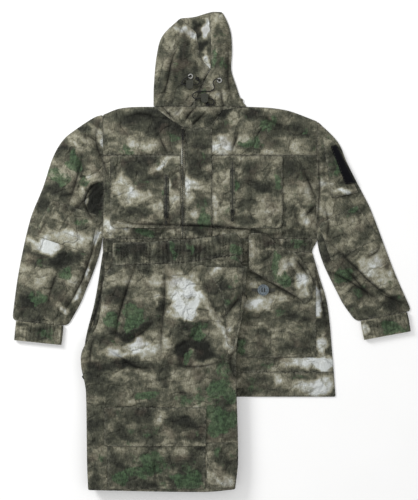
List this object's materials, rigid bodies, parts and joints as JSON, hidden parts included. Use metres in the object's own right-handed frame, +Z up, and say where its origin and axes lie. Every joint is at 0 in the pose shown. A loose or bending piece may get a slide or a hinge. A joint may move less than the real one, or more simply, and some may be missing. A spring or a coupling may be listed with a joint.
{
  "type": "camouflage field suit",
  "caption": "Hooded camouflage jacket laid flat with its arms spread, and matching trousers folded across its lower half.",
  "frame": {"origin": "middle of the rectangle that the laid-out suit covers, on the surface it lies on", "axes": "+Z up from that surface, +Y from the hem towards the hood, +X towards the wearer's left sleeve"},
  "size_m": [1.0798, 1.292, 0.0405],
  "materials": {
    "camouflage_cloth": "matt ripstop cotton blend printed with blotches of charcoal, olive, tan, pale grey and green",
    "elastic_cloth": "the same printed cloth gathered on elastic",
    "zip_tape": "woven polyester tape",
    "zip_metal": "dull black painted die-cast zinc",
    "eyelet_metal": "plated, slightly worn",
    "drawcord": "braided polyester cord",
    "lock_plastic": "dark olive moulded plastic",
    "button_plastic": "slate grey moulded plastic, lightly scuffed",
    "hook_and_loop": "black loop pile"
  },
  "bodies": {
    "jacket": {"jacket_back": "camouflage_cloth", "left_yoke": "camouflage_cloth", "right_yoke": "camouflage_cloth", "left_front": "camouflage_cloth", "right_front": "camouflage_cloth", "collar": "camouflage_cloth", "placket": "camouflage_cloth", "front_zip": "zip_tape", "waist_casing": "elastic_cloth", "left_skirt": "camouflage_cloth", "right_skirt": "camouflage_cloth", "hem_facing": "camouflage_cloth", "left_chest_pocket": "camouflage_cloth", "left_chest_zip": "zip_tape", "right_chest_pocket": "camouflage_cloth", "right_chest_zip": "zip_tape", "left_skirt_pocket": "camouflage_cloth", "right_skirt_pocket": "camouflage_cloth", "hem_cord": "drawcord", "button_tape": "zip_tape", "skirt_button": "button_plastic", "left_upper_sleeve": "camouflage_cloth", "left_upper_sleeve_back": "camouflage_cloth", "right_upper_sleeve": "camouflage_cloth", "right_upper_sleeve_back": "camouflage_cloth", "left_elbow_patch": "camouflage_cloth", "right_elbow_patch": "camouflage_cloth", "sleeve_pocket": "camouflage_cloth", "hook_and_loop_patch": "hook_and_loop"},
    "front_slider": {"front_zip_slider": "zip_metal"},
    "left_slider": {"left_chest_slider": "zip_metal"},
    "right_slider": {"right_chest_slider": "zip_metal"},
    "skirt_flap": {"left_skirt_flap": "camouflage_cloth"},
    "left_forearm": {"left_forearm": "camouflage_cloth", "left_forearm_back": "camouflage_cloth", "left_cuff": "elastic_cloth"},
    "right_forearm": {"right_forearm": "camouflage_cloth", "right_forearm_back": "camouflage_cloth", "right_cuff": "elastic_cloth"},
    "hood": {"hood_back": "camouflage_cloth", "hood_left_panel": "camouflage_cloth", "hood_right_panel": "camouflage_cloth", "left_eyelet": "eyelet_metal", "right_eyelet": "eyelet_metal", "left_drawcord": "drawcord", "right_drawcord": "drawcord"},
    "left_lock": {"left_cord_lock": "lock_plastic"},
    "right_lock": {"right_cord_lock": "lock_plastic"},
    "left_plunger": {"left_lock_plunger": "lock_plastic"},
    "right_plunger": {"right_lock_plunger": "lock_plastic"},
    "trousers": {"left_waistband": "elastic_cloth", "right_waistband": "elastic_cloth", "left_leg": "camouflage_cloth", "right_leg": "camouflage_cloth", "inner_leg_panels": "camouflage_cloth", "lower_legs": "camouflage_cloth", "cargo_pocket": "camouflage_cloth", "knee_patch": "camouflage_cloth", "fly_shield": "camouflage_cloth"},
    "cargo_flap": {"cargo_flap": "camouflage_cloth"}
  },
  "joints": [
    {"name": "trousers_lift", "type": "slide", "parent": "jacket", "child": "trousers", "axis": [0, 0, 1], "range_m": [0, 0.25]},
    {"name": "hood_fold", "type": "hinge", "parent": "jacket", "child": "hood", "pos_m": [-0.03071, 0.39, 0.016], "axis": [1, 0, 0], "range_deg": [0, 160]},
    {"name": "left_sleeve_fold", "type": "hinge", "parent": "jacket", "child": "left_forearm", "pos_m": [0.38129, -0.006, 0.016], "axis": [-0.8988, -0.4384, 0], "range_deg": [0, 165]},
    {"name": "right_sleeve_fold", "type": "hinge", "parent": "jacket", "child": "right_forearm", "pos_m": [-0.39671, 0.008, 0.016], "axis": [-0.9483, 0.3173, 0], "range_deg": [0, 165]},
    {"name": "skirt_flap_lift", "type": "hinge", "parent": "jacket", "child": "skirt_flap", "pos_m": [0.18429, 0.048, 0.0156], "axis": [-1, 0, 0], "range_deg": [0, 120]},
    {"name": "cargo_flap_lift", "type": "hinge", "parent": "trousers", "child": "cargo_flap", "pos_m": [-0.15171, -0.418, 0.0408], "axis": [-1, 0, 0], "range_deg": [0, 160]},
    {"name": "front_zip_slide", "type": "slide", "parent": "jacket", "child": "front_slider", "axis": [0, -1, 0], "range_m": [0, 0.25]},
    {"name": "left_zip_slide", "type": "slide", "parent": "jacket", "child": "left_slider", "axis": [0, 1, 0], "range_m": [0, 0.125]},
    {"name": "right_zip_slide", "type": "slide", "parent": "jacket", "child": "right_slider", "axis": [0, 1, 0], "range_m": [0, 0.095]},
    {"name": "left_lock_slide", "type": "slide", "parent": "hood", "child": "left_lock", "axis": [-1, 0, 0], "range_m": [0, 0.008]},
    {"name": "right_lock_slide", "type": "slide", "parent": "hood", "child": "right_lock", "axis": [1, 0, 0], "range_m": [0, 0.006]},
    {"name": "left_plunger_press", "type": "slide", "parent": "left_lock", "child": "left_plunger", "axis": [0, -1, 0], "range_m": [0, 0.003], "stiffness_N_per_m": 300, "springref_m": -0.006},
    {"name": "right_plunger_press", "type": "slide", "parent": "right_lock", "child": "right_plunger", "axis": [0, -1, 0], "range_m": [0, 0.003], "stiffness_N_per_m": 300, "springref_m": -0.006}
  ]
}
